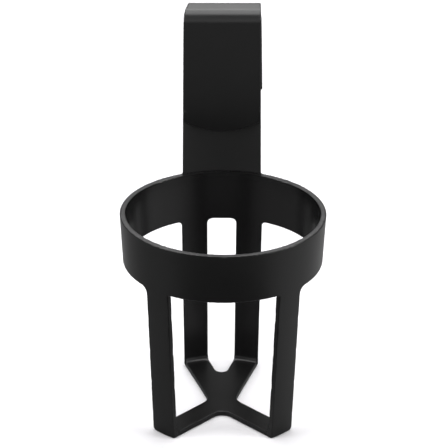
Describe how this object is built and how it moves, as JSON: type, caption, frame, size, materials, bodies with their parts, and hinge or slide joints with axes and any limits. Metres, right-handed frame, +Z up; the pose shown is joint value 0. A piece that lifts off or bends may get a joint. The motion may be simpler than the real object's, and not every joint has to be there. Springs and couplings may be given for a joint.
{
  "type": "hanging cup holder",
  "caption": "Open cup ring on four legs and a flat cross-shaped base, with a tall back strap that turns over into a sprung clip and hangs on a panel edge.",
  "frame": {"origin": "centre of the base's flat underside, on the cup ring's axis", "axes": "+Z up along the cup's axis, +Y towards the strap and the clip, +X to the right seen from the front"},
  "size_m": [0.08, 0.0894, 0.1535],
  "materials": {
    "black_plastic": "satin injection-moulded black plastic with a very fine texture, slightly scuffed on the rim"
  },
  "bodies": {
    "holder": {"cup_ring": "black_plastic", "back_plate": "black_plastic", "upper_strap": "black_plastic", "clip_bridge": "black_plastic", "front_left_leg": "black_plastic", "front_right_leg": "black_plastic", "rear_left_leg": "black_plastic", "rear_right_leg": "black_plastic", "base_hub": "black_plastic", "front_left_arm": "black_plastic", "front_right_arm": "black_plastic", "rear_left_arm": "black_plastic", "rear_right_arm": "black_plastic"},
    "clip_tongue": {"clip_tongue": "black_plastic"}
  },
  "joints": [
    {"name": "clip_flex", "type": "hinge", "parent": "holder", "child": "clip_tongue", "pos_m": [0, 0.0449, 0.152], "axis": [1, 0, 0], "range_deg": [0, 8], "stiffness_Nm_per_rad": 7}
  ]
}
